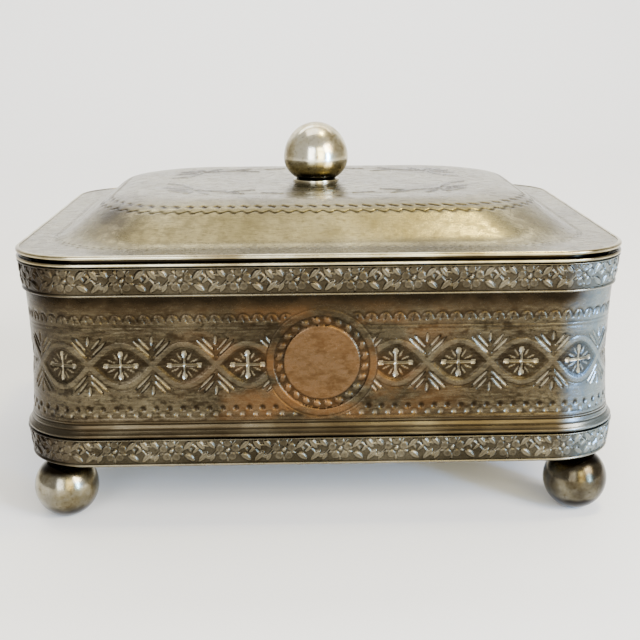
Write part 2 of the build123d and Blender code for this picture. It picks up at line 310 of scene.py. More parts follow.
def near(tree, place, inner, outer):
    """1 within the inner distance of a place in millimetres, 0 from the outer one on."""
    here = add(tree, "ShaderNodeTexCoord").outputs["Object"]
    away = add(tree, "ShaderNodeVectorMath", {0: here, 1: Vector(place) * MM}, operation="DISTANCE")
    limits = {"Value": away.outputs["Value"], "From Min": outer * MM, "From Max": inner * MM}
    return add(tree, "ShaderNodeMapRange", limits).outputs["Result"]


def stained(tree, base, marks, start, full, share, colour):
    """The base under a colour that comes in where the marks rise from start to full, up to its share."""
    return blend(tree, ramp(tree, marks, [(start, 0.0), (full, share)]), base, colour)


def washed(tree, base, where, share, colour):
    """The base under a colour that covers it by that share of a value from 0 to 1."""
    return blend(tree, number(tree, "MULTIPLY", where, share), base, colour)


def toned(tree, base, share, colour):
    """The base under a colour where the relief's tone is bright, or where it is dark for a share below 0."""
    cover = number(tree, "MULTIPLY", written(tree, "tone"), share, clamp=True)
    return blend(tree, cover, base, colour)


# Tarnish and painted shade on all the metals, from each piece's written mask: brown where it is thin, black
# where it is thick
thin_film_and_shade = "#33281a"
thick_film_and_shade = "#17120b"
patchiness_scale = 130
patchiness_floor = 0.62


def metal(name, build):
    """A metal under its tarnish and painted shade. Its colour, roughness, bump and the bump's depth come
    from build(tree).
    """
    material = bpy.data.materials.new(name)
    material.use_nodes = True
    tree = material.node_tree
    tree.nodes.clear()
    colour, roughness, bump, depth = build(tree)
    uneven = number(tree, "ADD", noise(tree, patchiness_scale, 4), patchiness_floor)
    # The written mask holds painted shade as well as tarnish
    darkening = number(tree, "MULTIPLY", written(tree, "film_and_shade"), uneven, clamp=True)
    colour = stained(tree, blend(tree, darkening, colour, thin_film_and_shade), darkening, 0.45, 1.0, 1.0, thick_film_and_shade)
    lumps = add(tree, "ShaderNodeBump", {"Height": bump, "Distance": depth * MM, "Strength": 1.0})
    shader = add(
        tree, "ShaderNodeBsdfPrincipled",
        {"Base Color": colour, "Metallic": 1.0, "Roughness": roughness, "Normal": lumps.outputs["Normal"]},
    )
    add(tree, "ShaderNodeOutputMaterial", {"Surface": shader.outputs["BSDF"]})
    return material


def engraved_plate(tree):
    """Tarnish lies brown and uneven over the wall and black in its cuts, and worn plate looks coppery."""
    cloud = noise(tree, 30, 6, rough=0.66)
    streak = noise(tree, 1900, 3, stretch=(0.13, 0.13, 1), rough=0.55)
    grain = noise(tree, 560, 5, stretch=(0.55, 0.55, 1), rough=0.7)
    base = ramp(tree, cloud, [(0.3, "#251e14"), (0.45, "#383023"), (0.6, "#4b4333"), (0.74, "#69614e")])
    base = stained(tree, base, streak, 0.46, 0.7, 0.5, "#655d48")
    base = stained(tree, base, grain, 0.49, 0.61, 0.82, "#1b150c")
    place = (0, wall_front_y, cartouche_z)
    patch = ramp(tree, noise(tree, 85, 4, stretch=(0.6, 0.6, 1)), [(0.45, 0.0), (0.6, 1.0)])
    worn = number(tree, "MULTIPLY", patch, near(tree, place, *worn_reach))
    base = washed(tree, base, near(tree, place, *brown_reach), 0.52, "#1e1810")
    base = washed(tree, base, worn, 0.5, "#664628")
    disc = ramp(tree, grain, [(0.38, "#5b4530"), (0.5, "#533e28"), (0.62, "#44301c")])
    base = washed(tree, base, near(tree, place, cartouche_disc - 0.5, cartouche_disc + 0.1), 0.85, disc)
    # Painted reflection of the bluish window on the corners
    base = washed(tree, base, written(tree, "painted_window_reflection"), 0.45, "#8ba1ac")
    colour = toned(tree, toned(tree, base, 0.36, "#b3a88c"), -0.9, "#17110a")
    roughness = ramp(tree, grain, [(0.35, 0.22), (0.7, 0.38)])
    return colour, roughness, grain, 0.05


def rolled_plate(tree):
    """The rolled border is rubbed on its petals and leaves, and its matted ground stays olive brown."""
    cloud = noise(tree, 70, 5, rough=0.6)
    mat = noise(tree, 1900, 3)
    base = ramp(tree, cloud, [(0.3, "#332d21"), (0.48, "#484235"), (0.62, "#5c5545"), (0.76, "#746d5b")])
    base = stained(tree, base, mat, 0.5, 0.68, 0.6, "#211b12")
    # Painted reflection of the bluish window on the corners
    base = washed(tree, base, written(tree, "painted_window_reflection"), 0.5, "#94a8b1")
    colour = toned(tree, toned(tree, base, 0.38, "#a89d81"), -0.85, "#171209")
    roughness = ramp(tree, cloud, [(0.3, 0.22), (0.7, 0.36)])
    return colour, roughness, mat, 0.05


def drawn_moulding(tree):
    """Drawn mouldings keep brown in their hollows and lines, and a dull shine on their beads."""
    cloud = noise(tree, 50, 4)
    streak = noise(tree, 1300, 4, stretch=(0.06, 0.06, 1), rough=0.6)
    base = ramp(tree, cloud, [(0.3, "#31291c"), (0.5, "#463e2e"), (0.72, "#665e4b")])
    base = stained(tree, base, streak, 0.46, 0.66, 0.6, "#2a2216")
    # Painted reflection of the bluish window on the corners
    base = washed(tree, base, written(tree, "painted_window_reflection"), 0.6, "#9fb0b6")
    colour = toned(tree, base, -1.0, "#140f08")
    roughness = ramp(tree, streak, [(0.3, 0.22), (0.75, 0.38)])
    return colour, roughness, streak, 0.02


def bright_wire(tree):
    """Polished silver wire, a little yellow with age, with fine wiping marks."""
    cloud = noise(tree, 60, 4)
    marks = noise(tree, 700, 3, stretch=(0.15, 0.15, 1))
    colour = ramp(tree, cloud, [(0.34, "#7d7154"), (0.5, "#aca282"), (0.68, "#cfc8b0"), (0.8, "#dfdac8")])
    roughness = ramp(tree, marks, [(0.3, 0.14), (0.75, 0.30)])
    return colour, roughness, marks, 0.01


def raised_lid(tree):
    """The lid was raised by hammer and rubbed lengthwise: olive, scratched, with drifts of brown tarnish."""
    cloud = noise(tree, 34, 6, rough=0.66)
    scratch = noise(tree, 3000, 3, stretch=(0.14, 1, 1), rough=0.55)
    grain = noise(tree, 420, 6, stretch=(0.75, 1, 1), rough=0.72)
    drift = noise(tree, 60, 5, stretch=(0.85, 1, 1), rough=0.6)
    base = ramp(tree, cloud, [(0.3, "#5e5638"), (0.44, "#72694a"), (0.58, "#837a59"), (0.74, "#948d6f")])
    base = stained(tree, base, scratch, 0.49, 0.66, 0.5, "#433c29")
    base = stained(tree, base, grain, 0.46, 0.64, 0.42, "#463f2d")
    base = stained(tree, base, drift, 0.46, 0.68, 0.42, "#433c2b")
    colour = toned(tree, base, -1.0, "#241c11")
    roughness = ramp(tree, grain, [(0.3, 0.16), (0.7, 0.38)])
    return colour, roughness, grain, 0.05


def turned_ball(tree):
    """Balls keep a soft mirror on their sides, with clouds of brown where no cloth reaches."""
    cloud = noise(tree, 90, 5, rough=0.64)
    fleck = noise(tree, 620, 4, rough=0.6)
    base = ramp(tree, cloud, [(0.34, "#8d7c56"), (0.45, "#c3b893"), (0.56, "#ded8c0"), (0.74, "#e8e4d6")])
    colour = stained(tree, base, fleck, 0.56, 0.72, 0.7, "#75643f")
    roughness = ramp(tree, cloud, [(0.3, 0.26), (0.7, 0.14)])
    return colour, roughness, fleck, 0.02


def drawn_nickel(tree):
    """Drawn nickel silver, worn and brown in its joints."""
    cloud = noise(tree, 220, 4)
    colour = ramp(tree, cloud, [(0.3, "#373022"), (0.55, "#5f5844"), (0.8, "#817a65")])
    roughness = ramp(tree, cloud, [(0.3, 0.42), (0.7, 0.26)])
    return colour, roughness, cloud, 0.02


def turned_brass(tree):
    """Turned brass fixings, dulled to a brown yellow."""
    cloud = noise(tree, 300, 3)
    colour = ramp(tree, cloud, [(0.3, "#6d5127"), (0.6, "#a5854a"), (0.85, "#bf9f5e")])
    roughness = ramp(tree, cloud, [(0.3, 0.45), (0.7, 0.30)])
    return colour, roughness, cloud, 0.02


# Sizes of the real pieces that their packed boxes don't give
wall_thickness = 1.2
wall_waist = 0.8
wall_front_y = middle_y - half_depth + half_length - wall_high.x
seam = 0.05
border_foot_inset = 1.75
border_bead = 1.1
border_lip = 0.7
border_sink = 0.75
border_swell = 0.12
rim_thickness = 1.2
rim_inner_inset = 4.6
upstand_width = 1.2
upstand_chamfer = 0.15
wire_width = 1.3
lid_thickness = 1.2
rim_top_z = shell_low.z + lid_thickness
dome_foot = 12.5
dome_bend = 26.0
dome_bend_rise = 11.0
dome_top = 34.0
dome_corner = 28.0
dome_radii = (12.0, 12.0, 30.0)
panel_inset = 42.0
foot_rest_radius = 2.0
knob_upper_height = 13.2
knob_lower_height = 9.5
knob_seat_radius = 7.0
collar_edge = 0.4
facet_weld = 0.01
upper_phase, lower_phase = 10.6, 5.7

# The graver's pattern on the wall
cartouche_z = 55.3
cartouche_disc = 12.4
cartouche_ring = 15.4
cartouche_band = 18.0
cartouche_beads = 24
cross_z = 54.9
cross_first = 23.85
cross_pitch = (perimeter / 2 - cross_first) / 15.5
cross_reach_x = 5.7
cross_reach_z = 4.7
ribbon_rise = 7.0
ribbon_width = 2.2
lens_depth = 0.26
scallop_z = 70.6
scallop_pitch = perimeter / 150
punch_z = 40.6
punch_pitch = perimeter / 158

# Heights at which the spacing of the wall's rows changes: below and above the ribbon, above the scallops
engraving_marks = (43.2, 66.2, 73.2)

# Columns of each swept mesh, and steps of each turned one
wall_columns, border_columns, plain_columns = 680, 1700, 640
sheet_columns, panel_columns = 1200, 1120
foot_steps, knob_steps, collar_steps = 96, 112, 96

# Round the cartouche: how far the worn plate and the darker brown are at full strength, and reach at all
worn_reach = (15, 52)
brown_reach = (20, 78)

silver_engraved = metal("electroplated silver, engraved and tarnished", engraved_plate)
silver_rolled = metal("electroplated silver, die rolled", rolled_plate)
silver_drawn = metal("electroplated silver, drawn moulding", drawn_moulding)
silver_wire = metal("electroplated silver, polished wire", bright_wire)
silver_lid = metal("electroplated silver, raised and rubbed", raised_lid)
silver_ball = metal("electroplated silver, turned ball", turned_ball)
nickel_hinge = metal("nickel silver, drawn", drawn_nickel)
brass_fixing = metal("brass, turned", turned_brass)


# Reliefs of the die and the graver


def almond(u, v, start, end, width, power=0.8):
    """How far inside an almond-shaped leaf each point lies, from 0 at its edge to 1 along its rib."""
    run = np.array(end) - np.array(start)
    length = hypot(*run)
    along = ((u - start[0]) * run[0] + (v - start[1]) * run[1]) / length**2
    across = ((u - start[0]) * -run[1] + (v - start[1]) * run[0]) / length
    half = width / 2 * np.sin(pi * np.clip(along, 0, 1)) ** power + 1e-6
    return np.where((along > 0) & (along < 1), np.clip(1 - np.abs(across) / half, 0, 1), 0.0)


def line_cut(distance, width):
    """The section of a line cut: 1 on its middle, 0 from half its width on."""
    return np.clip(1 - np.abs(distance) / (width / 2), 0, 1)


# One repeat of the rolled border, from the middle of a flower to the middle of the next. The leaves are
# given as start, end and width, in millimetres along the strip and up from its bead
border_pitch = perimeter / 37
flower_rise = 4.35
petal_out, petal_reach = 2.6, 1.4
boss_radius = 0.9
stem_start, stem_end = 3.6, 3.4
stem_sway = 2.1
border_leaves = (
    ((4.1, 4.9), (7.2, 8.0), 2.3),
    ((8.3, 8.1), (10.9, 4.7), 2.2),
    ((11.6, 8.0), (14.2, 5.3), 1.9),
    ((4.2, 3.3), (7.6, 0.8), 2.1),
    ((8.8, 0.6), (11.9, 3.9), 2.2),
    ((12.5, 0.6), (14.3, 3.1), 1.6),
    ((6.9, 3.6), (9.1, 5.6), 1.4),
    ((5.6, 6.0), (6.6, 3.9), 1.0),
    ((10.1, 6.4), (12.6, 6.1), 1.0),
    ((10.6, 2.1), (13.2, 1.9), 1.0),
)


def dome(share):
    """The rounded section of a raised form, from 0 at its edge to 1 at its middle."""
    return np.sqrt(np.clip(1 - (1 - share) ** 2, 0, 1))


def rosette(u, v):
    """A flower of five cupped petals round a ringed boss, with sepals between the petals."""
    radius = np.hypot(u, v)
    angle = np.arctan2(u, v)
    turn = (angle + pi / 5) % (2 * pi / 5) - pi / 5
    side, out = radius * np.sin(turn), radius * np.cos(turn)
    petal = np.clip(1 - ((out - petal_out) / petal_reach) ** 2 - (side / petal_reach) ** 2, 0, 1)
    height = 0.6 * np.sqrt(petal) - 0.34 * np.clip(petal * 1.7 - 0.6, 0, 1)
    half = (angle + 2 * pi / 5) % (2 * pi / 5) - pi / 5
    sepal = almond(radius * np.sin(half), radius * np.cos(half), (0, 2.3), (0, 4.2), 1.0)
    boss = 0.6 * np.sqrt(np.clip(1 - (radius / boss_radius) ** 2, 0, 1))
    return np.maximum.reduce((height, 0.4 * dome(sepal), boss))


def border_relief(strip_z, phase):
    """The die's relief for the strip that stands at that height."""
    field_z = strip_z + border_bead

    def relief(along, inset, height):
        u = (along - phase + border_pitch / 2) % border_pitch - border_pitch / 2
        v = height - field_z
        lift = rosette(u, v - flower_rise)
        further = np.where(u < 0, u + border_pitch, u)
        for start, end, width in border_leaves:
            inside = almond(further, v, start, end, width, 0.65)
            lift = np.maximum(lift, 0.55 * dome(inside) - 0.24 * np.clip((inside - 0.72) * 3.5, 0, 1))
        turn = 2 * pi * (further - stem_start) / (border_pitch - 2 * stem_start)
        stem_v = flower_rise + stem_sway * np.sin(turn)
        held = (further > stem_end) & (further < border_pitch - stem_end)
        lift = np.maximum(lift, 0.42 * dome(line_cut(v - stem_v, 1.0)) * held)
        lift = lift * np.clip((v - 0.1) * 4, 0, 1) * np.clip((height.max() - height - 0.05) * 4, 0, 1)
        return lift, np.interp(lift, (0, 0.12, 0.3, 0.6), (-0.55, -0.7, 0.0, 0.6))

    return relief


def carve(pair, depth, tone, where=True):
    """Cuts deeper where the depth is more than what is cut already, and gives that place its tone."""
    deeper = where & (depth > pair[0])
    return np.where(deeper, depth, pair[0]), np.where(deeper, tone, pair[1])


def leaf_cut(pair, u, w, start, end, width, depth, where=True):
    """One gouged leaf: bright in its cut, with a black edge."""
    inside = almond(u, w, start, end, width, 0.6)
    tone = np.interp(inside, (0, 0.22, 0.4), (-1, -0.8, 0.4))
    return carve(pair, depth * np.minimum(inside * 1.6, 1) * (inside > 0), tone, where)


def cross_cut(pair, u, w):
    """A cross of four arms that end in a drop, bright with a black edge, and two rays in each quarter."""
    for turn in (28, 62, 118, 152, 208, 242, 298, 332):
        right, up = cos(radians(turn)), sin(radians(turn))
        start, end = (1.9 * right, 1.9 * up), (5.0 * right, 4.6 * up)
        pair = leaf_cut(pair, u, w, start, end, 1.15, lens_depth + 0.1)
    arms = ((cross_reach_x, 1, 0), (cross_reach_x, -1, 0), (cross_reach_z, 0, 1), (cross_reach_z, 0, -1))
    for reach, right, up in arms:
        out = u * right + w * up
        across = np.abs(u * up + w * right)
        half = 0.42 + 0.5 * np.exp(-((out - reach + 0.95) / 0.85) ** 2)
        held = (out > -0.3) & (out < reach)
        arm = np.clip(1 - across / half, 0, 1)
        edge = np.full_like(out, lens_depth + 0.05)
        pair = carve(pair, edge, -1.0, held & (across < half + 0.4))
        pair = carve(pair, edge + 0.05 + 0.42 * arm, 1.0, held & (arm > 0))
    return pair


def fan_cut(pair, t, w, clear):
    """Above and below each crossing: two pairs of slanting leaves and a drop, as in a split palmette."""
    w = np.abs(w)
    for side in (-1, 1):
        for start, end, width in (((0.5, 2.9), (6.0, 8.4), 1.5), ((0.5, 5.0), (4.3, 9.3), 1.4)):
            pair = leaf_cut(
                pair, t, w, (side * start[0], start[1]), (side * end[0], end[1]), width, 0.42, clear
            )
    return leaf_cut(pair, t, w, (0.0, 6.6), (0.0, 10.0), 1.5, 0.4, clear)


def ring_cut(pair, signed, height):
    """The plain disc, its ring of slanting beads in a black channel and the smooth band round that."""
    rise = height - cartouche_z
    radius = np.hypot(signed, rise)
    pair = tuple(np.where(radius < cartouche_band, 0.0, value) for value in pair)
    middle = (cartouche_disc + cartouche_ring) / 2
    share = np.arctan2(rise, signed) / (2 * pi) * cartouche_beads % 1 - 0.5
    around, out = share * 2 * pi * middle / cartouche_beads, radius - middle
    slant = cos(radians(35)), sin(radians(35))
    long, wide = around * slant[0] + out * slant[1], out * slant[0] - around * slant[1]
    bead = np.sqrt(np.clip(1 - (long / 1.45) ** 2 - (wide / 1.0) ** 2, 0, 1))
    channel = (radius > cartouche_disc) & (radius < cartouche_ring)
    tone = np.interp(bead, (0, 0.35, 0.7), (-0.7, -0.45, 0.05))
    pair = carve(pair, 0.361 - 0.36 * bead, tone, channel)
    for edge in (cartouche_disc, cartouche_ring, cartouche_band):
        line = line_cut(radius - edge, 0.6)
        pair = carve(pair, 0.2 * line, -0.8 * line)
    return pair


def row_cut(pair, gone, height, clear):
    """The small rows: scallops with drops above, two rows of punched dots below, and their lines."""
    lobe = ((gone / scallop_pitch) % 1 - 0.5) * scallop_pitch
    arch = np.hypot(lobe / (scallop_pitch / 2), (height - scallop_z + 1.2) / 2.4)
    rim = line_cut((arch - 1) * 2.2, 1.0) * (height > scallop_z - 1.2)
    pair = carve(pair, 0.3 * rim, -rim, clear)
    drop = almond(lobe, height, (-0.3, scallop_z - 1.7), (0.3, scallop_z + 0.7), 1.3)
    pair = carve(pair, 0.34 * drop, -0.7 * drop, clear)
    for line_z in (scallop_z - 3.0, scallop_z - 4.2, punch_z - 3.1):
        line = line_cut(height - line_z, 0.6)
        pair = carve(pair, 0.16 * line, -0.7 * line, clear)
    for row_z, shift, size, tone in ((punch_z, 0.0, 1.0, -1.0), (punch_z - 2.0, 0.5, 0.95, 0.35)):
        lobe = ((gone / punch_pitch + shift) % 1 - 0.5) * punch_pitch
        dot = np.sqrt(np.clip(1 - (lobe**2 + (height - row_z) ** 2) / size**2, 0, 1))
        pair = carve(pair, 0.34 * dot, tone * dot, clear)
    return pair


def wall_relief(along, inset, height):
    """The engraving on the wall: crosses in a ribbon that crosses itself, between two small rows."""
    gone = np.minimum(along, perimeter - along)
    w = height - cross_z
    u = gone - cross_first - np.rint((gone - cross_first) / cross_pitch) * cross_pitch
    t = u - np.sign(u) * cross_pitch / 2
    band = ribbon_rise * np.cos(pi * u / cross_pitch)
    slope = ribbon_rise * pi / cross_pitch * np.sin(pi * u / cross_pitch)
    off = (np.abs(w) - band) / np.hypot(1, slope)
    ribbon_half = ribbon_width / 2
    lens = np.clip((-off - ribbon_half) / 0.5, 0, 1)
    field = np.clip((off - ribbon_half) / 0.5, 0, 1) * np.clip((9.8 - np.abs(w)) / 2, 0, 1)
    tone = -0.72 * lens - 0.42 * field + 0.1 * (np.abs(off) < ribbon_half)
    pair = cross_cut((lens * lens_depth + field * 0.06, tone), u, w)
    pair = fan_cut(pair, t, w, off > ribbon_half - 0.3)
    edge = line_cut(np.abs(off) - ribbon_half, 0.55)
    pair = carve(pair, 0.16 * edge, -0.8 * edge, np.abs(w) < 9)
    signed = np.where(along > perimeter / 2, along - perimeter, along)
    pair = ring_cut(pair, signed, height)
    clear = np.hypot(gone, height - cartouche_z) > cartouche_band + 0.8
    depth, tone = row_cut(pair, gone, height, clear)
    return -depth, tone


def lid_corner(inset):
    """Corner radius of the lid's level lines: the outline's at the rim, then the dome's own."""
    insets = (0, 1.35, 8.2, half_depth)
    radii = (corner_radius, 22.65, dome_corner, dome_corner)
    return np.minimum(np.interp(inset, insets, radii), np.maximum(half_depth - inset, 0.0))


# The lid's engraved rows: inset, pitch, sway, width, depth, and the gap's share of the pitch. A row of
# dashes runs high on the dome, a fine wave below that and a wriggled line on the rim
lid_rows = (
    (27.2, 4.5, 0.38, 1.7, 0.36, 0.26),
    (24.4, 4.5, 0.42, 0.8, 0.26, 0.0),
    (10.6, 3.0, 0.75, 0.6, 0.2, 0.0),
)


def lid_relief(along, inset, height):
    """The lid's engraved rows, each a wave that is cut as dashes where it has a gap."""
    depth = np.zeros_like(along)
    for row_inset, pitch, sway, width, cut, gap in lid_rows:
        gone, whole = true_length(along, row_inset, float(lid_corner(np.array(row_inset))))
        phase = gone / (whole / round(whole / pitch)) % 1
        line = inset - row_inset - sway * np.sin(2 * pi * phase)
        held = np.clip((np.minimum(phase, 1 - phase) - gap / 2) * 8, 0, 1) if gap else 1.0
        depth = np.maximum(depth, cut * line_cut(line, width) * held)
    return -depth, -np.clip(depth * 4, 0, 1)


# A quarter of the panel's engraving, in millimetres right and back from the middle of the lid
panel_leaves = (
    ((46.0, 25.0), (56.5, 26.5), 3.4),
    ((45.5, 26.5), (55.0, 33.0), 3.4),
    ((44.0, 27.5), (48.0, 37.0), 3.4),
    ((45.5, 23.5), (55.0, 17.5), 3.0),
    ((42.0, 27.0), (38.0, 36.0), 3.0),
    ((44.0, 25.0), (27.0, 31.5), 2.4),
    ((44.5, 23.0), (49.5, 8.5), 2.4),
    ((33.0, 30.5), (25.5, 35.5), 2.4),
    ((31.0, 29.0), (22.0, 26.0), 2.0),
    ((49.0, 12.0), (55.0, 7.0), 2.4),
    ((20.0, 33.0), (12.0, 35.0), 2.0),
)


def panel_relief(along, inset, height):
    """The sprays in the corners of the lid's panel and the line that joins them."""
    x, y = outline_place(along, inset, lid_corner(inset))
    right, back = np.abs(x), np.abs(y - middle_y)
    depth, tone = np.zeros_like(along), np.zeros_like(along)
    for start, end, width in panel_leaves:
        inside = almond(right, back, start, end, width, 0.6)
        leaf = 0.3 * np.minimum(inside * 2, 1) - 0.12 * np.clip((inside - 0.7) * 4, 0, 1)
        depth = np.maximum(depth, leaf)
        tone = np.maximum(tone, np.interp(inside, (0, 0.05, 0.4, 1), (0, 0.95, 0.8, 0.5)))
    tone = np.maximum(tone, 0.42 * np.clip(1.3 - np.hypot(right - 48, back - 27) / 13, 0, 1))
    clear = np.clip((np.hypot(right - 46, back - 26) - 11) / 3, 0, 1)
    sway = 0.5 * np.sin(x * 1.2) * np.cos(y * 1.2)
    straight_line = 0.2 * clear * line_cut(inset - 45.0, 0.9)
    wavy_line = 0.18 * clear * line_cut(inset - 47.2 - sway, 0.8)
    for line in (straight_line, wavy_line):
        depth = np.maximum(depth, line * 0.6)
        tone = np.maximum(tone, line * 1.2)
    return -depth, -tone


# Body pieces


def side_wall():
    """The side wall, in four quarters that meet in its corners."""
    inset = half_length - wall_high.x
    inner = inset + wall_thickness
    low, high = moulding_high.z, upper_low.z
    waist = (low + high) / 2
    outside = bowed((inset, low), (inset + wall_waist, waist), (inset, high), 400)
    heights = spaced((low, *engraving_marks, high), (21, 69, 19, 3))
    face = np.stack((np.interp(heights, outside[:, 1], outside[:, 0]), heights), axis=1)
    profile = np.concatenate((
        [(inset, wall_low.z)],
        face,
        [(inset, wall_high.z), (inner, wall_high.z)],
        bowed((inner, high), (inner + wall_waist, waist), (inner, low), 6),
        [(inner, low), (inner, wall_low.z)],
    ))
    pressed = rows_between(profile, 1, 1 + len(face))

    def tarnish_and_shade(x, y, z):
        """Painted shade heavy under the upper border, a faint darkening at the foot, and a painted dark
        reflection in the front left corner.
        """
        top = 0.95 * fade(z, 69.5, 77)
        foot = 0.3 * fade(z, 39, 36)
        left = 0.55 * fade(x, -80, -94) * fade(y, -50, -62)
        return np.maximum.reduce((top, foot, left)) * (1 - 0.8 * painted_window_reflection(x, y, z))

    for index, side in enumerate(("front", "right", "back", "left")):
        stretch = (0.25 * index - 0.125, 0.25 * index + 0.125)
        mesh = swept_mesh(profile, wall_columns, wall_relief, pressed, stretch=stretch)
        write(mesh, "film_and_shade", tarnish_and_shade)
        write(mesh, "painted_window_reflection", painted_window_reflection)
        piece(f"engraved_wall_{side}", mesh, silver_engraved, "body", ("side_wall",))


def rolled_border(node, low, high, phase):
    """A rolled border with its bead and its flowers, in two halves that meet in the middle of each end."""
    back = half_length - wall_high.x - seam
    foot, top = border_foot_inset, half_length - high.x
    bead_z, lip_z = low.z + border_bead, high.z - border_lip
    ground = (top + border_sink, lip_z)
    middle = ((ground[0] + foot) / 2 - border_swell, (bead_z + lip_z) / 2)
    bead = bowed((foot, low.z), (foot - 0.5, low.z + border_bead / 2), (foot, bead_z), 8)
    field = bowed((foot, bead_z), middle, ground, 32)
    lip = bowed(ground, (top, lip_z + border_lip * 0.55), (top + 0.15, high.z), 5)
    profile = np.concatenate((
        bead, field, lip, [(top + 0.15, high.z), (back, high.z), (back, low.z), (foot + 0.3, low.z)],
    ))
    pressed = rows_between(profile, 0, len(bead) + len(field) + len(lip))
    field_relief = border_relief(low.z, phase)

    def relief(along, inset, height):
        lift, tone = field_relief(along, inset, height)
        plain = (height < bead_z) | (height > lip_z)
        glow = np.where(height < bead_z, 0.75, 0.3)
        return np.where(plain, 0.0, lift), np.where(plain, glow, tone)

    def tarnish_and_shade(x, y, z):
        """A painted dark reflection in the front left corner, painted shade under the bead, and a thin
        tarnish all over the upper border.
        """
        left = 0.75 * fade(x, -72, -92) * fade(y, -40, -52)
        under = 0.9 * fade(z, low.z + 0.12, low.z - 0.005)
        veil = 0.14 if node == "upper_border" else 0.0
        return np.maximum.reduce((left, under, np.full_like(z, veil)))

    for side, stretch in (("front", (-0.25, 0.25)), ("back", (0.25, 0.75))):
        mesh = swept_mesh(profile, border_columns, relief, pressed, stretch=stretch)
        write(mesh, "film_and_shade", tarnish_and_shade)
        write(mesh, "painted_window_reflection", painted_window_reflection)
        piece(f"rolled_{node}_{side}", mesh, silver_rolled, "body", (node,), sharp=60)


def drawn_base_moulding():
    """The bead and hollow above the lower border, with two tool lines."""
    back = half_length - wall_high.x - seam
    low, high = moulding_low.z, moulding_high.z
    bead_inset, edge_inset = 0.4, 0.8
    bead_height, hollow_depth = 1.5, 0.3
    bead_z = low + bead_height
    deepest = ((edge_inset + back) / 2 + hollow_depth, (bead_z + high) / 2)
    bead = bowed((edge_inset, low), (bead_inset, low + bead_height / 2), (edge_inset, bead_z), 8)
    hollow = bowed((edge_inset, bead_z), deepest, (back - seam, high), 26)
    profile = np.concatenate((bead, hollow, [(back - seam, high), (back, high), (back, low)]))
    pressed = rows_between(profile, len(bead), len(bead) + len(hollow))

    def tool_lines(along, inset, height):
        line = np.maximum(line_cut(height - low - 2.9, 0.6), line_cut(height - low - 4.5, 0.6))
        return -0.2 * line, -line

    def tarnish_and_shade(x, y, z):
        """A thin tarnish all over, painted shade under the bead, and darker along the wall."""
        return 0.2 + fade(z, low + 0.3, low + 0.05) + np.minimum(fade(z, high - 0.5, high), 0.5)

    mesh = swept_mesh(profile, plain_columns, tool_lines, pressed)
    write(mesh, "painted_window_reflection", painted_window_reflection)
    write(mesh, "film_and_shade", tarnish_and_shade)
    piece("drawn_base_moulding", mesh, silver_drawn, "body", ("base_moulding",))


def round_edge(low_z, high_z):
    """The rounded outside of a wire, from its underside to its upper side."""
    edge = (high_z - low_z) / 2
    angles = np.linspace(-pi / 2, pi / 2, 13)
    return np.stack((edge - edge * np.cos(angles), low_z + edge + edge * np.sin(angles)), axis=1)


def mouth_wire():
    """The bright wire round the mouth, with the upstand on which the lid rests."""
    top = rim_low.z + rim_thickness
    outer, inner = rim_inner_inset - upstand_width, rim_inner_inset
    shoulder_z = rim_high.z - upstand_chamfer
    upstand = [
        (outer, top),
        (outer, shoulder_z),
        (outer + upstand_chamfer, rim_high.z),
        (inner - upstand_chamfer, rim_high.z),
        (inner, shoulder_z),
        (inner, rim_low.z),
    ]

    def tarnish_and_shade(x, y, z):
        """Painted shade in the gap under the lid: on the wire's flat top and upstand, and on its underside.
        """
        return np.clip((z - top + 0.22) * 6, 0, 1) + np.clip((rim_low.z + 0.2 - z) * 6, 0, 1)

    mesh = swept_mesh(np.concatenate((round_edge(rim_low.z, top), upstand)), plain_columns)
    write(mesh, "film_and_shade", tarnish_and_shade)
    piece("mouth_wire", mesh, silver_wire, "body", ("mouth_rim",), sharp=50)


def lid_wire():
    """The bright wire soldered round the edge of the lid."""
    profile = np.concatenate((
        round_edge(wire_low.z, wire_high.z), [(wire_width, wire_high.z), (wire_width, wire_low.z)],
    ))
    mesh = swept_mesh(profile, plain_columns)
    # Painted shade on the wire's underside, in the gap above the mouth wire
    write(mesh, "film_and_shade", lambda x, y, z: np.clip((wire_low.z + 0.25 - z) * 6, 0, 1))
    piece("lid_wire", mesh, silver_wire, "lid", ("lid_edge_wire",), sharp=50)


# Lid pieces


def eased(points, radii, steps=14):
    """A line of insets and heights with each of its bends rounded to a radius."""
    line = [points[0]]
    for before, bend, after, radius in zip(points, points[1:], points[2:], radii):
        first = atan2(bend[1] - before[1], bend[0] - before[0])
        last = atan2(after[1] - bend[1], after[0] - bend[0])
        side = 1 if last > first else -1
        reach = radius * tan(abs(last - first) / 2)
        centre = (
            bend[0] - reach * cos(first) - side * radius * sin(first),
            bend[1] - reach * sin(first) + side * radius * cos(first),
        )
        for angle in np.linspace(first, last, steps + 1):
            line.append((centre[0] + side * radius * sin(angle), centre[1] - side * radius * cos(angle)))
    line.append(points[-1])
    return np.array(line)


def sheet_faces(reach):
    """Upper and under side of the lid's sheet at those insets."""
    edge = half_length - shell_high.x
    corners = (
        (edge, rim_top_z),
        (dome_foot, rim_top_z),
        (dome_bend, rim_top_z + dome_bend_rise),
        (dome_top, shell_high.z),
        (half_depth, shell_high.z),
    )
    line = eased(corners, dome_radii)
    upper = np.stack((reach, np.interp(reach, line[:, 0], line[:, 1])), axis=1)
    slope = np.gradient(upper[:, 1], upper[:, 0])
    drop = np.stack((slope, -np.ones(len(slope))), axis=1) * lid_thickness / np.sqrt(1 + slope**2)[:, None]
    under = upper + drop
    under[:, 0] = np.clip(under[:, 0], edge, half_depth)
    return upper, under


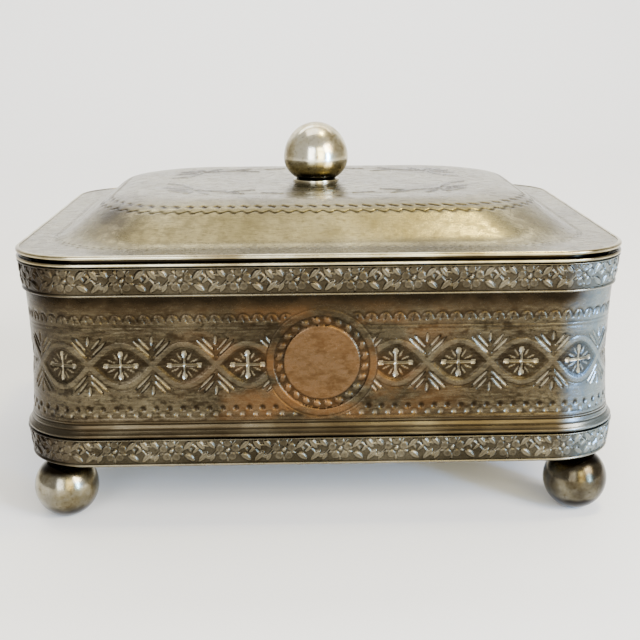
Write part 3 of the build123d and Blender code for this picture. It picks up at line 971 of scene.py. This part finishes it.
def lid_brown_and_shade(x, y, z):
    """Brown lies in the dome's corners, thickest at the front left, and painted shade lies round the foot of
    the knob.
    """
    band = np.exp(-(((np.abs(x) - 69) / 10) ** 2)) * fade(np.abs(y), 20, 46)
    slope = fade(z, rim_top_z, rim_top_z + 7) * fade(z, shell_high.z + 4, shell_high.z - 3)
    strength = np.where((x < 0) & (y < 0), 0.62, 0.24)
    # Painted shade round the foot of the knob
    knob = 0.4 * fade(np.hypot(x, y), 13, 9)
    inside = np.where(z < rim_top_z - lid_thickness / 2, 0.35, 0.0)
    return np.maximum.reduce((band * slope * strength, knob, inside))


def lid_sheet():
    """Rim, cove and dome in one raised sheet, and its flat panel with the engraved sprays."""
    edge = half_length - shell_high.x
    upper = sheet_faces(spaced((edge, 9.0, 12.4, 23.4, 28.6, panel_inset), (5, 10, 12, 24, 12)))[0]
    under = sheet_faces(np.linspace(edge, panel_inset, 18))[1]
    profile = np.concatenate((upper, under[::-1]))
    pressed = rows_between(profile, 0, len(upper) - 1)
    mesh = swept_mesh(profile, sheet_columns, lid_relief, pressed, corner=lid_corner)
    write(mesh, "film_and_shade", lid_brown_and_shade)
    piece("lid_sheet", mesh, silver_lid, "lid", ("lid_shell",), sharp=50)
    upper, under = sheet_faces(np.linspace(half_depth, panel_inset, 78))
    profile = np.concatenate((upper, under[::11][::-1]))
    pressed = rows_between(profile, 0, len(upper) - 1)
    mesh = swept_mesh(profile, panel_columns, panel_relief, pressed, corner=lid_corner, loop=False)
    write(mesh, "film_and_shade", lid_brown_and_shade)
    piece("lid_panel", mesh, silver_lid, "lid", ("lid_shell",), sharp=50)


# Turned pieces


def lathe(name, outline, centre, steps, material, body, node, tarnish_and_shade):
    """A piece turned on a lathe, with its tarnish and painted shade."""
    bm = bmesh.new()
    turned(bm, outline, centre, steps)
    mesh = to_mesh(bm)
    write(mesh, "film_and_shade", tarnish_and_shade)
    piece(name, mesh, material, body, (node,), sharp=50)


def ball_feet():
    """Four turned balls, each with a small flat to stand on and one under the base."""
    for place in ("front_left", "front_right", "back_left", "back_right"):
        low, high = node_box(f"foot_{place}")
        radius = (high.x - low.x) / 2
        middle_z = low.z + sqrt(radius**2 - foot_rest_radius**2)
        angles = np.linspace(asin((low.z - middle_z) / radius), asin((high.z - middle_z) / radius), 49)
        ball = [(radius * cos(angle), middle_z + radius * sin(angle)) for angle in angles]
        darkening = 0.7 if place == "front_right" else 0.54

        def tarnish_and_shade(x, y, z):
            """An even film, darker towards the floor, and black painted shade under the base."""
            return np.maximum(fade(z, 13.5, 18.5), darkening + np.clip((6 - z) / 8, 0, 0.5))

        lathe(
            f"ball_foot_{place}", [(0, low.z), *ball, (0, high.z)],
            ((low.x + high.x) / 2, (low.y + high.y) / 2), foot_steps,
            silver_ball, "body", f"foot_{place}", tarnish_and_shade,
        )


def knob():
    """The oval knob, taller above its middle than below, on its moulded collar."""
    radius = (ball_high.x - ball_low.x) / 2
    middle_z, seat = ball_high.z - knob_upper_height, acos(knob_seat_radius / radius)
    outline = [(0, ball_low.z)]
    for angle in spaced((-seat, 0, pi / 2), (19, 29)):
        height = knob_upper_height if angle > 0 else knob_lower_height
        outline.append((radius * max(cos(angle), 0), middle_z + height * sin(angle)))
    outline[-1] = (0, ball_high.z)
    # Painted shade on the knob's underside and down its left side
    lathe(
        "oval_knob", outline, (0, middle_y), knob_steps, silver_ball, "lid", "knob_ball",
        lambda x, y, z: np.clip((ball_low.z + 5.5 - z) / 4.5, 0, 1) * 0.9 + np.clip((-x - 8) / 8, 0, 0.3),
    )
    collar = (collar_high.x - collar_low.x) / 2
    low, high, edge = collar_low.z, collar_high.z, collar_edge
    outline = [(0, low), (collar, low)]
    for angle in np.linspace(0, pi / 2, 7):
        outline.append((collar - edge + edge * cos(angle), low + edge + edge * sin(angle)))
    # Painted shade on the collar where the knob sits on it
    lathe(
        "knob_collar_turned", [*outline, (0, high)], (0, middle_y), collar_steps,
        silver_wire, "lid", "knob_collar",
        lambda x, y, z: np.clip((8.0 - np.hypot(x, y)) / 1.2, 0, 0.8),
    )


def carried_over():
    """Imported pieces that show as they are: their facets are welded and split only at true edges."""
    for material, nodes in (
        (silver_lid, ("base_plate", "lid_bezel")),
        (nickel_hinge, ("body_hinge", "lid_hinge", "hinge_pin")),
        (brass_fixing, ("foot_studs", "foot_nuts", "knob_stud", "knob_washer", "knob_nut")),
    ):
        for node in nodes:
            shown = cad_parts[node]
            shown.data.materials.clear()
            shown.data.materials.append(material)
            for face in shown.data.polygons:
                face.use_smooth = True
            weld = shown.modifiers.new("weld", "WELD")
            weld.merge_threshold = facet_weld * MM
            split = shown.modifiers.new("split", "EDGE_SPLIT")
            split.split_angle = radians(30)


side_wall()
rolled_border("upper_border", upper_low, upper_high, upper_phase)
rolled_border("lower_border", lower_low, lower_high, lower_phase)
drawn_base_moulding()
mouth_wire()
lid_wire()
lid_sheet()
ball_feet()
knob()
carried_over()


# Studio


# The paper sweep: half its width and depth, how far its flat goes back, its bend and its upright part
sweep_half_width, sweep_half_depth = 4000, 2500
sweep_back = 1000
sweep_bend = 500
sweep_rise = 1800


def studio_floor():
    """A pale paper sweep: flat under the box, curving up well behind it."""
    bm = bmesh.new()
    bmesh.ops.create_grid(bm, x_segments=1, y_segments=1, size=1.0)
    bmesh.ops.scale(bm, vec=(sweep_half_width, sweep_half_depth, 1), verts=bm.verts)
    bmesh.ops.translate(bm, vec=(0, sweep_back - sweep_half_depth, 0), verts=bm.verts)
    back = [edge for edge in bm.edges if all(vertex.co.y > sweep_back - 1 for vertex in edge.verts)]
    bmesh.ops.spin(
        bm, geom=back, cent=(0, sweep_back, sweep_bend), axis=(1, 0, 0), angle=pi / 2, steps=16,
        use_merge=False,
    )
    bmesh.ops.remove_doubles(bm, verts=bm.verts, dist=WELD)
    top = [edge for edge in bm.edges if all(vertex.co.z > sweep_bend - 1 for vertex in edge.verts)]
    extruded = bmesh.ops.extrude_edge_only(bm, edges=top)["geom"]
    raised = [part for part in extruded if isinstance(part, bmesh.types.BMVert)]
    bmesh.ops.translate(bm, vec=(0, 0, sweep_rise), verts=raised)
    mesh = to_mesh(bm)
    for face in mesh.polygons:
        face.use_smooth = True
    paper = bpy.data.materials.new("pale paper sweep")
    paper.use_nodes = True
    shader = paper.node_tree.nodes["Principled BSDF"]
    shader.inputs["Base Color"].default_value = linear("#f3f2f0")
    shader.inputs["Roughness"].default_value = 0.9
    mesh.materials.append(paper)
    floor = bpy.data.objects.new("paper_sweep", mesh)
    bpy.context.scene.collection.objects.link(floor)


# Each soft box: name, place, target, width, height, watts and colour
soft_boxes = (
    ("key", (820, -760, 660), (0, 0, 60), 520, 420, 24, "#fff6ea"),
    ("window", (660, -700, 170), (0, 0, 70), 110, 360, 17, "#8fc0ff"),
    ("front_cool", (-420, -1400, 460), (0, 0, 90), 560, 940, 17, "#eef4ff"),
    ("front_warm", (420, -1400, 460), (0, 0, 90), 560, 940, 17, "#fff1b8"),
    ("sky", (0, 60, 1050), (0, 0, 60), 900, 500, 5, "#fffaf2"),
    ("lamp", (230, -60, 900), (40, -40, 90), 120, 90, 3.0, "#fff0a6"),
    ("backdrop", (0, 900, 1500), (0, 1500, 500), 2400, 700, 34, "#ffffff"),
)


def soft_light(name, place, target, width, height, power, colour):
    """A soft box of that size, turned to its target."""
    light = bpy.data.lights.new(name, "AREA")
    light.shape = "RECTANGLE"
    light.size, light.size_y = width * MM, height * MM
    light.energy = power
    light.color = linear(colour)[:3]
    lamp = bpy.data.objects.new(name, light)
    bpy.context.scene.collection.objects.link(lamp)
    lamp.location = Vector(place) * MM
    lamp.rotation_euler = (Vector(target) - Vector(place)).to_track_quat("-Z", "Y").to_euler()


def room():
    """Dim neutral surroundings for the metal to mirror."""
    world = bpy.data.worlds.new("studio")
    world.use_nodes = True
    background = world.node_tree.nodes["Background"]
    background.inputs["Color"].default_value = linear("#c9c5bd")
    background.inputs["Strength"].default_value = 1.15
    bpy.context.scene.world = world


# The photograph is taken from a little above the lid, close to the middle of the front
camera_place = (-7.9, -428.75, 160.4)
camera_yaw = 0.021
camera_pitch = 0.253
camera_roll = -0.007
focal_pixels = 1140
frame_pixels = 640
sensor = 36.0


def camera():
    """The photograph's viewpoint, with its yaw, pitch and roll in radians."""
    lens = bpy.data.cameras.new("photo_camera")
    lens.sensor_width = sensor
    lens.lens = sensor * focal_pixels / frame_pixels
    lens.clip_start, lens.clip_end = 0.01, 20
    view = bpy.data.objects.new("photo_camera", lens)
    bpy.context.scene.collection.objects.link(view)
    forward = Vector((
        sin(camera_yaw) * cos(camera_pitch), cos(camera_yaw) * cos(camera_pitch), -sin(camera_pitch),
    ))
    turn = forward.to_track_quat("-Z", "Y").to_matrix() @ Matrix.Rotation(camera_roll, 3, "Z")
    place = Vector(camera_place) + Vector((0, middle_y, 0))
    view.matrix_world = Matrix.Translation(place * MM) @ turn.to_4x4()
    bpy.context.scene.camera = view


studio_floor()
for soft_box in soft_boxes:
    soft_light(*soft_box)
room()
camera()
